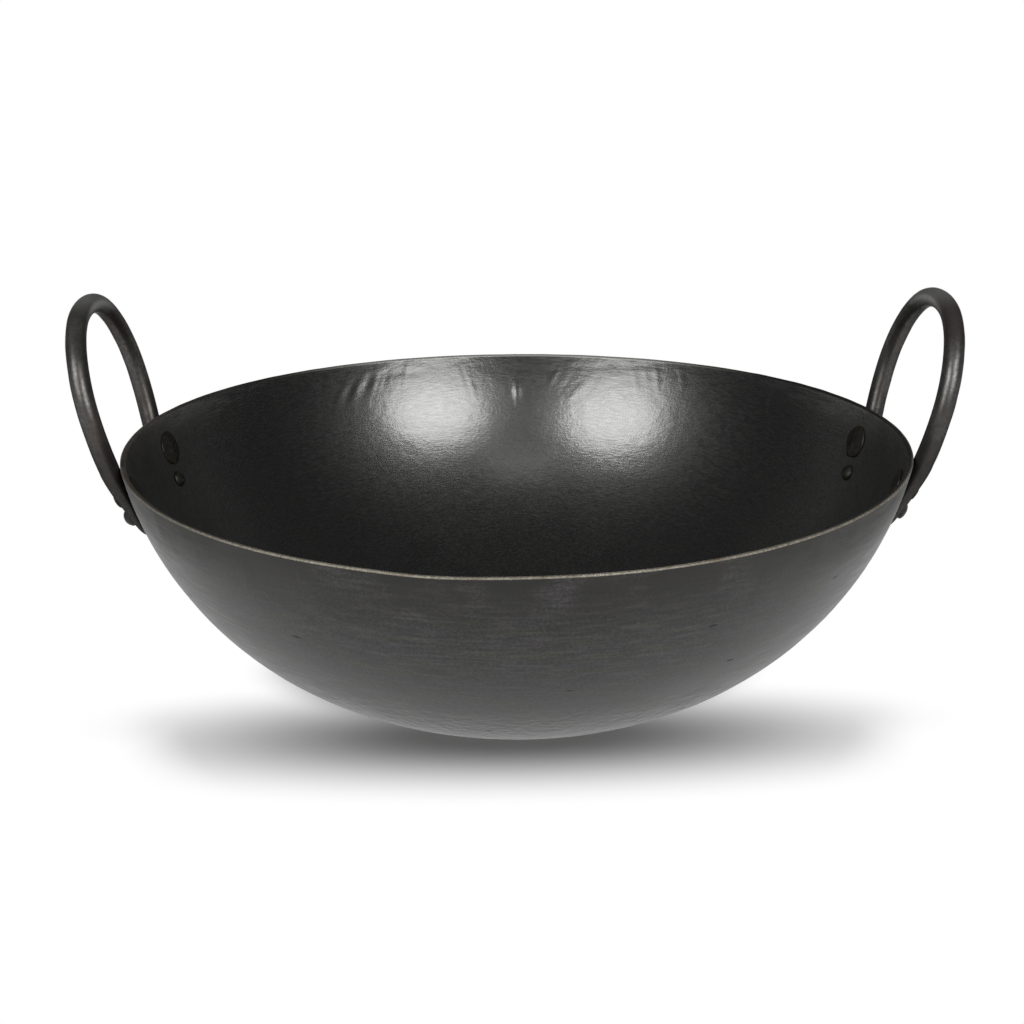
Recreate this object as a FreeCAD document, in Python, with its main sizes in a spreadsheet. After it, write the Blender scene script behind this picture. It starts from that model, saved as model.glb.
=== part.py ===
import FreeCAD, Part
import os
from enum import IntEnum
from math import asin, atan2, cos, pi, sin, tan

import Sketcher
from FreeCAD import Vector

# A round-bottomed iron kadai: one beaten sheet bowl and two bent bar handles, each held by four rivets.
# The origin is the middle of the flat base, on the surface that the bowl stands on.
# +X runs through the handles and +Z is up.

doc = FreeCAD.newDocument("kadai")
sheet = doc.addObject("Spreadsheet::Sheet", "sizes")

# Driving sizes in millimetres, and two angles in degrees.
SIZES = {
    # The bowl: outer edge of the rim, height of that edge, flat of the base, thickness of the sheet.
    "rim_radius": 160,
    "bowl_height": 108.4,
    "base_radius": 26.8,
    "wall": 2.3,
    "rim_round": 0.6,
    # The handles: centre line of the bent bar, seen square to the plane that the loop leans in.
    # A wide crown, two tighter shoulders, then necks that draw the legs together down to the rim.
    "bar_diameter": 8,
    "loop_rise": 58.7,
    "crown_radius": 62,
    "crown_angle": 11.3,
    "shoulder_radius": 38,
    "neck_radius": 63,
    "lean_angle": 13,
    # The forged feet: over this drop below the rim the bar is drawn down to a flat tab with a round tip.
    "scarf_drop": 22,
    "tab_thickness": 3,
    "tab_width": 14,
    # Drop below the rim of each rivet and of the middle of each tip. Fitted by hand, so the legs differ.
    "front_upper_drop": 12,
    "front_lower_drop": 20.4,
    "front_tip_drop": 22.4,
    "back_upper_drop": 13,
    "back_lower_drop": 26,
    "back_tip_drop": 27,
    # The rivets: a broad low head inside on the upper ones, small domed heads on the lower ones.
    "upper_shank": 6,
    "upper_head": 14.5,
    "upper_head_height": 1.4,
    "lower_shank": 4,
    "lower_head": 7,
    "lower_head_height": 1.9,
    "lower_head_side": 1.2,
    # Gap round a shank in its hole, gap under a seat, and how far a cut runs past what it cuts.
    "hole_gap": 0.1,
    "seat_gap": 0.05,
    "overrun": 10,
}

# Sizes that follow from those. The wall is one arc that leaves the flat base without a corner.
# Below the rim the legs run straight on from the necks, in the leaning plane of the loop.
DERIVED = {
    "wall_arc": "=((rim_radius - base_radius)^2 + bowl_height^2) / (2 * bowl_height)",
    "rim_slope": "=asin((wall_arc - bowl_height) / wall_arc)",
    "lean": "=lean_angle * 1deg",
    "crown_turn": "=crown_angle * 1deg",
    "crown_up": "=loop_rise - crown_radius",
    "shoulder_out": "=(crown_radius - shoulder_radius) * sin(crown_turn)",
    "shoulder_up": "=crown_up + (crown_radius - shoulder_radius) * cos(crown_turn)",
    "neck_out": "=shoulder_out + shoulder_radius - neck_radius",
    "neck_turn": "=asin(shoulder_up / neck_radius)",
    "rim_spread": "=neck_out + neck_radius * cos(neck_turn)",
    "leg_end": "=scarf_drop / cos(lean)",
    "bar_reach": "=rim_radius + seat_gap + bar_diameter / 2 / cos(lean)",
    "loop_reach": "=sqrt(bar_reach^2 - rim_spread^2)",
    "seat_arc": "=wall_arc + seat_gap",
    "seat_slope": "=asin((wall_arc - bowl_height) / seat_arc)",
    "tab_arc": "=wall_arc + tab_thickness",
    "scarf_slope": "=asin((wall_arc - bowl_height + scarf_drop) / wall_arc)",
    "scarf_reach": "=bar_reach + bar_diameter / 2 / cos(lean)",
    "tool_reach": "=scarf_reach + overrun",
}
SIDES = {"right": 0, "left": 180}
LEGS = {"front": -1, "back": 1}
ROWS = ("upper", "lower")

# How a head meets the curve of the wall, and how round its dome is.
for row in ROWS:
    DERIVED[f"{row}_sag"] = f"={row}_head^2 / (8 * (wall_arc - wall))"
    DERIVED[f"{row}_dome"] = f"={row}_head^2 / (8 * {row}_head_height) + {row}_head_height / 2"

# The spots on the centre line of each leg: how far down the leg, and how far out from the middle.
for spot in (f"{leg}_{mark}" for leg in LEGS for mark in (*ROWS, "tip")):
    DERIVED[f"{spot}_down"] = f"={spot}_drop / cos(lean)"
    DERIVED[f"{spot}_spread"] = f"=rim_spread - {spot}_down * tan(neck_turn)"

# Where each rivet goes through the wall, square to it.
for spot in (f"{leg}_{row}" for leg in LEGS for row in ROWS):
    DERIVED[f"{spot}_turn"] = f"=atan2({spot}_spread; loop_reach - {spot}_down * sin(lean))"
    DERIVED[f"{spot}_slope"] = f"=asin((wall_arc - bowl_height + {spot}_drop) / wall_arc)"
    DERIVED[f"{spot}_radius"] = f"=base_radius + wall_arc * cos({spot}_slope)"

for cell, (alias, content) in enumerate({**SIZES, **DERIVED}.items(), start=1):
    sheet.set(f"A{cell}", alias)
    sheet.set(f"B{cell}", str(content))
    sheet.setAlias(f"B{cell}", alias)
doc.recompute()


class Point(IntEnum):
    """How a sketch numbers the points of a line or arc."""

    START = 1
    END = 2
    MIDDLE = 3


class Axis(IntEnum):
    """How a sketch numbers its own axes."""

    ACROSS = -1
    UP = -2


START, END, MIDDLE = Point
ORIGIN = (Axis.ACROSS, START)


def size(alias):
    """The value of one cell of the sheet: millimetres, or radians for an angle."""
    value = sheet.get(alias)
    return value.getValueAs("rad").Value if hasattr(value, "getValueAs") else float(value)


def body_named(name):
    return doc.addObject("PartDesign::Body", name)


def origin_plane(body, role):
    return next(feature for feature in body.Origin.OriginFeatures if feature.Role == role)


def sketch_on(body, role, name):
    """A sketch on one of the body's own origin planes."""
    sketch = body.newObject("Sketcher::SketchObject", name)
    sketch.AttachmentSupport = [(origin_plane(body, role), "")]
    sketch.MapMode = "FlatFace"
    return sketch


def line(x0, y0, x1, y1):
    return Part.LineSegment(Vector(x0, y0, 0), Vector(x1, y1, 0))


def arc(x, y, radius, start, end):
    return Part.ArcOfCircle(Part.Circle(Vector(x, y, 0), Vector(0, 0, 1), radius), start, end)


def outline(sketch, *pieces):
    """Draws a closed outline and joins the end of each piece to the start of the next."""
    marks = list(sketch.addGeometry(list(pieces), False))
    for mark, other in zip(marks, marks[1:] + marks[:1]):
        pairs = [(p, q) for p in (START, END) for q in (START, END)]
        p, q = min(pairs, key=lambda e: (sketch.getPoint(mark, e[0]) - sketch.getPoint(other, e[1])).Length)
        sketch.addConstraint(Sketcher.Constraint("Coincident", mark, p, other, q))
    return marks


def rule(sketch, kind, *places):
    sketch.addConstraint(Sketcher.Constraint(kind, *places))


def measure(sketch, name, kind, places, expression):
    """A driving dimension of a sketch, tied to the sheet."""
    value = float(sheet.evalExpression(expression))
    mark = sketch.addConstraint(Sketcher.Constraint(kind, *places, value))
    sketch.renameConstraint(mark, name)
    sketch.setExpression(f"Constraints.{name}", expression)


def revolve(body, sketch):
    """Turns a section about the sketch's upright axis, all the way round."""
    turned = body.newObject("PartDesign::Revolution", f"{sketch.Name}_turned")
    turned.Profile = sketch
    turned.ReferenceAxis = (sketch, ["V_Axis"])
    turned.Angle = 360
    doc.recompute()
    return turned


def add_bowl_wall():
    """The sheet bowl before it is drilled: a flat base, one arc up to the rim, and an edge cut square."""
    body = body_named("bowl_wall")
    sketch = sketch_on(body, "XZ_Plane", "wall_section")
    flat, big, thick, slope = size("base_radius"), size("wall_arc"), size("wall"), size("rim_slope")
    small = big - thick
    rim_outer, rim_inner = ((flat + r * cos(slope), big - r * sin(slope)) for r in (big, small))
    base, outside, edge, inside, floor, axis = outline(
        sketch,
        line(0, 0, flat, 0),
        arc(flat, big, big, -pi / 2, -slope),
        line(*rim_outer, *rim_inner),
        arc(flat, big, small, -pi / 2, -slope),
        line(flat, thick, 0, thick),
        line(0, thick, 0, 0),
    )
    rule(sketch, "Coincident", base, START, *ORIGIN)
    rule(sketch, "Horizontal", base)
    rule(sketch, "Horizontal", floor)
    rule(sketch, "Vertical", axis)
    rule(sketch, "Coincident", outside, MIDDLE, inside, MIDDLE)
    rule(sketch, "Vertical", outside, MIDDLE, outside, START)
    rule(sketch, "Vertical", inside, MIDDLE, inside, START)
    rule(sketch, "PointOnObject", outside, MIDDLE, edge)
    measure(sketch, "base_flat", "DistanceX", (base, START, base, END), "sizes.base_radius")
    measure(sketch, "rim_out", "DistanceX", (*ORIGIN, outside, END), "sizes.rim_radius")
    measure(sketch, "rim_up", "DistanceY", (*ORIGIN, outside, END), "sizes.bowl_height")
    measure(sketch, "sheet", "DistanceY", (axis, END, axis, START), "sizes.wall")
    turned = revolve(body, sketch)
    edges = enumerate(turned.Shape.Edges, start=1)
    top = size("bowl_height") - size("rim_round")
    rim_edges = [f"Edge{n}" for n, e in edges if e.isClosed() and e.BoundBox.ZMin > top]
    rounded = body.newObject("PartDesign::Fillet", "rim_rounding")
    rounded.Base = (turned, rim_edges)
    rounded.setExpression("Radius", "sizes.rim_round")
    return body


def add_seat_tool():
    """All the space inside the outer wall, a seating gap larger, which the handles' feet are cut by."""
    body = body_named("seat_tool")
    sketch = sketch_on(body, "XZ_Plane", "seat_section")
    flat, big, seat, slope = size("base_radius"), size("wall_arc"), size("seat_arc"), size("seat_slope")
    top, bottom = size("bowl_height"), big - seat
    base, side, lid, axis = outline(
        sketch,
        line(0, bottom, flat, bottom),
        arc(flat, big, seat, -pi / 2, -slope),
        line(flat + seat * cos(slope), top, 0, top),
        line(0, top, 0, bottom),
    )
    rule(sketch, "Horizontal", base)
    rule(sketch, "Horizontal", lid)
    rule(sketch, "Vertical", axis)
    rule(sketch, "PointOnObject", base, START, Axis.UP)
    rule(sketch, "Vertical", side, MIDDLE, side, START)
    measure(sketch, "base_flat", "DistanceX", (base, START, base, END), "sizes.base_radius")
    measure(sketch, "arc_up", "DistanceY", (*ORIGIN, side, MIDDLE), "sizes.wall_arc")
    measure(sketch, "arc_size", "Radius", (side,), "sizes.seat_arc")
    measure(sketch, "rim_up", "DistanceY", (*ORIGIN, lid, START), "sizes.bowl_height")
    revolve(body, sketch)
    return body


def add_scarf_tool():
    """The space outside the feet: a slope from the full bar at the rim to the tab, then along the wall."""
    body = body_named("scarf_tool")
    sketch = sketch_on(body, "XZ_Plane", "scarf_section")
    flat, big, tab, slope = size("base_radius"), size("wall_arc"), size("tab_arc"), size("scarf_slope")
    top, bottom, far, reach = size("bowl_height"), big - tab, size("tool_reach"), size("scarf_reach")
    face, scarf, lid, side, floor = outline(
        sketch,
        arc(flat, big, tab, -pi / 2, -slope),
        line(flat + tab * cos(slope), big - tab * sin(slope), reach, top),
        line(reach, top, far, top),
        line(far, top, far, bottom),
        line(far, bottom, flat, bottom),
    )
    rule(sketch, "Horizontal", lid)
    rule(sketch, "Vertical", side)
    rule(sketch, "Horizontal", floor)
    rule(sketch, "Vertical", face, MIDDLE, face, START)
    measure(sketch, "arc_out", "DistanceX", (*ORIGIN, face, MIDDLE), "sizes.base_radius")
    measure(sketch, "arc_up", "DistanceY", (*ORIGIN, face, MIDDLE), "sizes.wall_arc")
    measure(sketch, "arc_size", "Radius", (face,), "sizes.tab_arc")
    measure(sketch, "scarf_foot", "DistanceY", (face, END, face, MIDDLE),
            "sizes.tab_arc * sin(sizes.scarf_slope)")
    measure(sketch, "scarf_out", "DistanceX", (*ORIGIN, lid, START), "sizes.scarf_reach")
    measure(sketch, "rim_up", "DistanceY", (*ORIGIN, lid, START), "sizes.bowl_height")
    measure(sketch, "far_out", "DistanceX", (*ORIGIN, side, START), "sizes.tool_reach")
    revolve(body, sketch)
    return body


def lean_back(sketch):
    """Sets a sketch in the plane of a loop, which stands on the rim and leans outward."""
    sketch.AttachmentOffset = FreeCAD.Placement(Vector(), FreeCAD.Rotation(Vector(1, 0, 0), 1))
    sketch.setExpression("AttachmentOffset.Base.y", "sizes.bowl_height")
    sketch.setExpression("AttachmentOffset.Base.z", "sizes.loop_reach")
    sketch.setExpression("AttachmentOffset.Rotation.Angle", "sizes.lean")


def add_bar(body, name):
    """The bent round bar: half of it swept from the top of the loop down one leg, then mirrored."""
    path = sketch_on(body, "YZ_Plane", f"{name}_path")
    lean_back(path)
    crown, shoulder, neck = size("crown_radius"), size("shoulder_radius"), size("neck_radius")
    crown_up, shoulder_up, neck_out = size("crown_up"), size("shoulder_up"), size("neck_out")
    bend, draw, spread, end = size("crown_turn"), size("neck_turn"), size("rim_spread"), size("leg_end")
    crown_arc, shoulder_arc, neck_arc, leg_line = path.addGeometry([
        arc(0, crown_up, crown, pi / 2 - bend, pi / 2),
        arc(size("shoulder_out"), shoulder_up, shoulder, 0, pi / 2 - bend),
        arc(neck_out, shoulder_up, neck, -draw, 0),
        line(spread - end * tan(draw), -end, spread, 0),
    ], False)
    for upper, lower in ((crown_arc, shoulder_arc), (shoulder_arc, neck_arc), (neck_arc, leg_line)):
        rule(path, "Tangent", upper, START, lower, END)
    rule(path, "PointOnObject", crown_arc, MIDDLE, Axis.UP)
    rule(path, "PointOnObject", crown_arc, END, Axis.UP)
    rule(path, "Horizontal", shoulder_arc, MIDDLE, shoulder_arc, START)
    rule(path, "Horizontal", neck_arc, START, *ORIGIN)
    measure(path, "crown_size", "Radius", (crown_arc,), "sizes.crown_radius")
    measure(path, "crown_top", "DistanceY", (*ORIGIN, crown_arc, END), "sizes.loop_rise")
    measure(path, "shoulder_size", "Radius", (shoulder_arc,), "sizes.shoulder_radius")
    measure(path, "shoulder_middle", "DistanceX", (*ORIGIN, shoulder_arc, MIDDLE), "sizes.shoulder_out")
    measure(path, "neck_size", "Radius", (neck_arc,), "sizes.neck_radius")
    measure(path, "leg_drop", "DistanceY", (leg_line, START, *ORIGIN), "sizes.leg_end")

    section = sketch_on(body, "XZ_Plane", f"{name}_section")
    out = "sizes.loop_reach + sizes.loop_rise * sin(sizes.lean)"
    up = "sizes.bowl_height + sizes.loop_rise * cos(sizes.lean)"
    top = Vector(*(float(sheet.evalExpression(place)) for place in (out, up)), 0)
    ring = section.addGeometry(Part.Circle(top, Vector(0, 0, 1), size("bar_diameter") / 2), False)
    measure(section, "out", "DistanceX", (*ORIGIN, ring, MIDDLE), out)
    measure(section, "up", "DistanceY", (*ORIGIN, ring, MIDDLE), up)
    measure(section, "thickness", "Diameter", (ring,), "sizes.bar_diameter")
    doc.recompute()
    half = body.newObject("PartDesign::AdditivePipe", f"{name}_half")
    half.Profile = section
    half.Spine = path
    doc.recompute()
    whole = body.newObject("PartDesign::Mirrored", f"{name}_bar")
    whole.Originals = [half]
    whole.MirrorPlane = (origin_plane(body, "XZ_Plane"), [""])
    body.Tip = whole
    doc.recompute()


def add_tab(body, name, leg, sign):
    """The spread end of one leg: as wide as the bar at its upper rivet, widening to a round tip."""
    tab = sketch_on(body, "YZ_Plane", f"{name}_{leg}_outline")
    lean_back(tab)
    neck, tip = size("bar_diameter") / 2, size("tab_width") / 2
    spots = (f"{leg}_upper", f"{leg}_tip")
    high, low = (Vector(sign * size(f"{spot}_spread"), -size(f"{spot}_down"), 0) for spot in spots)
    heading = atan2(low.y - high.y, low.x - high.x)
    tilt = asin((tip - neck) / (low - high).Length)
    one, other = heading + pi / 2 + tilt, heading - pi / 2 - tilt
    low_one, low_other = (low + Vector(cos(turn), sin(turn), 0) * tip for turn in (one, other))
    high_one, high_other = (high + Vector(cos(turn), sin(turn), 0) * neck for turn in (one, other))
    end, side, top, far_side = tab.addGeometry([
        arc(low.x, low.y, tip, other, one),
        Part.LineSegment(low_one, high_one),
        arc(high.x, high.y, neck, one, other + 2 * pi),
        Part.LineSegment(high_other, low_other),
    ], False)
    for first, following in ((end, side), (side, top), (top, far_side), (far_side, end)):
        rule(tab, "Tangent", first, END, following, START)
    for mark, spot in zip((top, end), spots):
        across = (*ORIGIN, mark, MIDDLE) if sign > 0 else (mark, MIDDLE, *ORIGIN)
        measure(tab, f"{spot}_out", "DistanceX", across, f"sizes.{spot}_spread")
        measure(tab, f"{spot}_below", "DistanceY", (mark, MIDDLE, *ORIGIN), f"sizes.{spot}_down")
    measure(tab, "neck", "Radius", (top,), "sizes.bar_diameter / 2")
    measure(tab, "tip", "Radius", (end,), "sizes.tab_width / 2")
    spread = body.newObject("PartDesign::Pad", f"{name}_{leg}_tab")
    spread.Profile = tab
    spread.SideType = "Symmetric"
    spread.setExpression("Length", "sizes.bar_diameter * 2")
    doc.recompute()


def add_handle_blank(name, turn):
    """One handle as the bar is bent and its ends are spread, before the feet are fitted to the wall."""
    body = body_named(name)
    body.Placement.Rotation = FreeCAD.Rotation(Vector(0, 0, 1), turn)
    add_bar(body, name)
    for leg, sign in LEGS.items():
        add_tab(body, name, leg, sign if turn == 0 else -sign)
    return body


def rivet_frame(spot, side_turn, sign):
    """The place of a rivet: on the outer wall, with its own axis pointing out square to it."""
    turn = f"({side_turn} deg + {sign} * sizes.{spot}_turn)"
    reach = f"sizes.{spot}_radius"
    place = f"vector({reach} * cos{turn}; {reach} * sin{turn}; sizes.bowl_height - sizes.{spot}_drop)"
    return f"placement({place}; rotation({turn}; 90 deg + sizes.{spot}_slope; 0))"


def add_drill(name, radius, start, frame):
    """A round cut along a rivet's axis, from a distance along it outward past the bar."""
    drill = doc.addObject("Part::Cylinder", name)
    drill.setExpression("Radius", radius)
    drill.setExpression("Height", "sizes.wall + sizes.bar_diameter + 2 * sizes.overrun")
    drill.setExpression("Placement", f"{frame} * placement(vector(0; 0; {start}); rotation(0; 0; 0))")
    return drill


def add_drills(name, row, frame):
    """The hole for a shank and, under a domed outer head, the flat that is hammered for it on the foot."""
    hole = f"sizes.{row}_shank / 2 + sizes.hole_gap"
    drills = [add_drill(f"{name}_hole", hole, "0 - sizes.wall - sizes.overrun", frame)]
    if row == "lower":
        flat = f"sizes.{row}_head / 2 + sizes.hole_gap"
        drills.append(add_drill(f"{name}_flat", flat, "sizes.tab_thickness", frame))
    return drills


def add_rivet(name, row, frame):
    """A rivet turned about its own axis: a low head on the inside of the wall, a shank, and an outer end."""
    body = body_named(name)
    sketch = sketch_on(body, "XZ_Plane", f"{name}_section")
    shank, head, rise = size(f"{row}_shank") / 2, size(f"{row}_head") / 2, size(f"{row}_head_height")
    dome = size(f"{row}_dome")
    under = -size("wall") - size("seat_gap")
    edge = under - size(f"{row}_sag")
    swing = asin(head / dome)
    inner_head = arc(0, edge - rise + dome, dome, -pi / 2, -pi / 2 + swing)
    if row == "upper":
        stop = size("bar_diameter")
        inner, seat, side, end, axis = outline(
            sketch,
            inner_head,
            line(head, edge, shank, under),
            line(shank, under, shank, stop),
            line(shank, stop, 0, stop),
            line(0, stop, 0, edge - rise),
        )
        measure(sketch, "stop", "DistanceY", (*ORIGIN, end, START), "sizes.bar_diameter")
    else:
        stop = size("tab_thickness") + size("seat_gap")
        brow = stop + size(f"{row}_head_side")
        inner, seat, side, end, barrel, outer, axis = outline(
            sketch,
            inner_head,
            line(head, edge, shank, under),
            line(shank, under, shank, stop),
            line(shank, stop, head, stop),
            line(head, stop, head, brow),
            arc(0, brow + rise - dome, dome, pi / 2 - swing, pi / 2),
            line(0, brow + rise, 0, edge - rise),
        )
        rule(sketch, "Vertical", barrel)
        rule(sketch, "PointOnObject", outer, MIDDLE, Axis.UP)
        measure(sketch, "stop", "DistanceY", (*ORIGIN, end, START), "sizes.tab_thickness + sizes.seat_gap")
        measure(sketch, "outer_head", "DistanceX", (*ORIGIN, end, END), f"sizes.{row}_head / 2")
        measure(sketch, "outer_side", "DistanceY", (barrel, START, barrel, END), f"sizes.{row}_head_side")
        measure(sketch, "outer_rise", "DistanceY", (outer, START, outer, END), f"sizes.{row}_head_height")
    rule(sketch, "Horizontal", end)
    rule(sketch, "Vertical", side)
    rule(sketch, "Vertical", axis)
    rule(sketch, "PointOnObject", axis, END, Axis.UP)
    rule(sketch, "PointOnObject", inner, MIDDLE, Axis.UP)
    measure(sketch, "shank", "DistanceX", (*ORIGIN, seat, END), f"sizes.{row}_shank / 2")
    measure(sketch, "under", "DistanceY", (seat, END, *ORIGIN), "sizes.wall + sizes.seat_gap")
    measure(sketch, "head", "DistanceX", (*ORIGIN, seat, START), f"sizes.{row}_head / 2")
    measure(sketch, "sag", "DistanceY", (seat, START, seat, END), f"sizes.{row}_sag")
    measure(sketch, "rise", "DistanceY", (inner, START, inner, END), f"sizes.{row}_head_height")
    revolve(body, sketch)
    body.setExpression("Placement", frame)
    return body


def cut(label, base, tool):
    piece = doc.addObject("Part::Cut", f"{label}_cut")
    piece.Label = label
    piece.Base = base
    piece.Tool = tool
    return piece


# Every rivet by name, with its row and its place on the wall.
rivets = {
    f"{row}_rivet_{side}_{leg}": (row, rivet_frame(f"{leg}_{row}", turn, sign if turn == 0 else -sign))
    for side, turn in SIDES.items()
    for leg, sign in LEGS.items()
    for row in ROWS
}

seat_tool = add_seat_tool()
scarf_tool = add_scarf_tool()
drills = doc.addObject("Part::MultiFuse", "rivet_drills")
drills.Shapes = [drill for name, (row, frame) in rivets.items() for drill in add_drills(name, row, frame)]
foot_tool = doc.addObject("Part::MultiFuse", "foot_tool")
foot_tool.Shapes = [seat_tool, scarf_tool, drills]

pieces = [cut("bowl", add_bowl_wall(), drills)]
for side, turn in SIDES.items():
    pieces.append(cut(f"handle_{side}", add_handle_blank(f"handle_{side}_blank", turn), foot_tool))

# The upper rivets are hammered flush with the sloping foot; the lower ones keep a domed outer head.
for name, (row, frame) in rivets.items():
    if row == "upper":
        pieces.append(cut(name, add_rivet(f"{name}_blank", row, frame), scarf_tool))
    else:
        pieces.append(add_rivet(name, row, frame))
doc.recompute()

failed = [thing.Label for thing in doc.Objects if {"Invalid", "Error"} & set(thing.State)]
failed += [piece.Label for piece in pieces if piece.Shape.isNull() or not piece.Shape.isValid()]
failed += [piece.Label for piece in pieces if len(piece.Shape.Solids) != 1]
if failed:
    raise RuntimeError("these objects are not sound: " + ", ".join(failed))

os.makedirs("parts", exist_ok=True)
for piece in pieces:
    piece.Shape.exportStep(f"parts/{piece.Label}.step")
    print(f"{piece.Label}: {piece.Shape.Volume:.1f} mm3")
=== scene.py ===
"""The kadai as it looks: a beaten iron bowl with two riveted loop handles, in a plain studio."""
import math
import random

import bpy
import numpy as np
from mathutils import Matrix, Vector
from mathutils import noise as perlin


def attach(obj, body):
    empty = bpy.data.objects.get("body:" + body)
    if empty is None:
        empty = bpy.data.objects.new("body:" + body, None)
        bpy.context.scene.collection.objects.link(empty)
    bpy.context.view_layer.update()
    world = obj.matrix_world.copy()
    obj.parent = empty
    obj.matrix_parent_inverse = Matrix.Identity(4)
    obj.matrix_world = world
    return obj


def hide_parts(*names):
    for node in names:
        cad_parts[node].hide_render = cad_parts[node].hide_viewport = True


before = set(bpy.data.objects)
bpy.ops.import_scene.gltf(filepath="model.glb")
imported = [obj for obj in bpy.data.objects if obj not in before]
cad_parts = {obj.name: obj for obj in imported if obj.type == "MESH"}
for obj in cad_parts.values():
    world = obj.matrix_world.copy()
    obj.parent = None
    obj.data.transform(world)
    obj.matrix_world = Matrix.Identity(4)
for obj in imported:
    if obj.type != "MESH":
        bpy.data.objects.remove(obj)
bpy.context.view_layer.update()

# The bowl
# One disc of sheet iron, dished and then beaten by hand all over, so both faces are full of shallow dents.
# Its edge is cut square and stays bare and brown; the faces are black with burnt-on oil.
rim_radius = 0.160
rim_height = 0.1084
flat_radius = 0.0268
sheet = 0.0023
edge_round = 0.0006
wall_radius = ((rim_radius - flat_radius) ** 2 + rim_height ** 2) / (2 * rim_height)
rim_turn = math.acos(1 - rim_height / wall_radius)

bowl_columns = 720
column_crowding = 0.4
outside_steps = 46
inside_steps = 70
row_crowding = 1.6
corner_steps = 3
flat_rows = 3

# The edge waves like a slight saddle, high at the handles and most at the right one, with one low spot left
# of the front. It was ground level, and the sheet is a little thinner there.
mean_lift = 0.0009
right_lift = 0.00053
front_lift = 0.00035
twist_wave = 0.00012
saddle_wave = 0.00105
low_spot_depth = 0.00063
low_spot_azimuth = math.radians(-101)
low_spot_spread = math.radians(7)
edge_ripple = 0.00009
edge_ripple_size = 0.011
edge_sheet = 0.0021
edge_taper = 0.008

# One round of blows after another, from the rim down to the flat. Each leaves a shallow oval dent, longer
# round the bowl than down it. The blows stray from their places and vary in size by these shares.
blow_pitch = 0.0135
blow_length = 0.0085
blow_width = 0.0058
blow_depth = 0.00007
blow_scatter_round = 0.35
blow_scatter_down = 0.4
BLOW_WIDTHS = (0.8, 1.3)
BLOW_LENGTHS = (0.8, 1.5)
BLOW_DEPTHS = (-1.3, 0.7)
blow_slant = 0.5
blow_inside = 0.35
first_round = 0.010
flat_fade = 0.02

# Puckers: short folds below the rim where the sheet was gathered in. Each row gives the azimuth in degrees,
# the drop of its middle below the edge, its half length and half width, all in millimetres, the slant in
# degrees from upright and the depth in millimetres. These are the ones that show on the inside of the back.
PUCKERS = (
    (122.9, 13.8, 6.0, 1.3, 40, 0.12),
    (121.2, 13.4, 6.0, 1.2, 38, -0.10),
    (119.7, 13.0, 6.5, 1.3, 35, 0.13),
    (117.6, 11.6, 6.5, 1.2, 31, -0.12),
    (116.0, 11.0, 6.0, 1.2, 28, 0.10),
    (113.6, 9.0, 5.0, 1.2, 24, -0.07),
    (109.5, 6.4, 4.8, 1.3, 15, 0.08),
    (99.0, 12.0, 6.0, 1.4, -14, 0.05),
    (97.3, 13.7, 6.5, 1.3, -18, 0.08),
    (88.4, 18.8, 5.2, 2.0, -5, 0.34),
    (81.5, 11.2, 4.2, 1.1, 30, 0.12),
    (79.2, 15.4, 6.5, 1.3, 35, -0.06),
    (77.2, 19.0, 6.5, 1.2, 42, 0.09),
    (75.4, 15.5, 5.5, 1.3, 36, 0.05),
    (65.7, 11.6, 5.0, 1.1, -16, 0.09),
    (63.6, 10.2, 4.5, 1.1, -17, 0.06),
    (61.5, 9.5, 4.8, 1.1, -17, 0.09),
    (56.7, 7.2, 4.5, 1.2, -20, 0.08),
)
# The other puckers, round the sides and the front, lie anywhere within these limits: the turns in degrees,
# the slant in radians and the rest in metres.
spare_puckers = 46
SPARE_TURNS = (135, 405)
SPARE_DROPS = (0.007, 0.014)
SPARE_LENGTHS = (0.004, 0.007)
SPARE_WIDTHS = (0.0014, 0.0022)
spare_slant = 0.5
spare_depth = 0.00016

# The top of the wall was turned over a stake last, which left a faint ring and long ripples along the rim.
stake_ring_drop = 0.0056
stake_ring_depth = 0.00005
stake_ring_width = 0.0021
stake_ring_wander = 0.006
stake_ring_size = 0.022
stake_ring_firmness = 0.7
stake_ring_change = 1.4
ripple_depth = 0.00006
ripple_length = 0.011
ripple_pitch = 0.0026
ripple_reach = 0.014

# The sheet is beaten less where a foot sits on it, so that the foot lies flat there.
foot_zone_turn = math.radians(19)
foot_zone_drop = 0.046
foot_zone_sharpness = 4


def rim_lift(azimuth):
    """How far the cut edge waves above or below its drawn line."""
    away = np.angle(np.exp(1j * (azimuth - low_spot_azimuth)))
    dip = low_spot_depth * np.exp(-(away / low_spot_spread) ** 2)
    tilt = right_lift * np.cos(azimuth) - front_lift * np.sin(azimuth)
    twist = twist_wave * np.sin(2 * azimuth)
    return mean_lift + tilt + saddle_wave * np.cos(2 * azimuth) - twist - dip


def edge_ripples(azimuth):
    """The small unevenness that shears and a file leave along the edge."""
    spots = (Vector((math.cos(a), math.sin(a), 0)) * rim_radius / edge_ripple_size for a in azimuth)
    return edge_ripple * np.array([perlin.noise(spot) for spot in spots])


def dent(azimuth, drop, middle, down, half_length, half_width, slant, depth):
    """One oval dent in the sheet, as an offset square to it."""
    reach = flat_radius + wall_radius * math.sin(rim_turn - down / wall_radius)
    across = np.angle(np.exp(1j * (azimuth - middle))) * reach
    along = drop - down
    length = along * math.cos(slant) + across * math.sin(slant)
    width = across * math.cos(slant) - along * math.sin(slant)
    return depth * np.exp(-(length / half_length) ** 2 - (width / half_width) ** 2)


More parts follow.
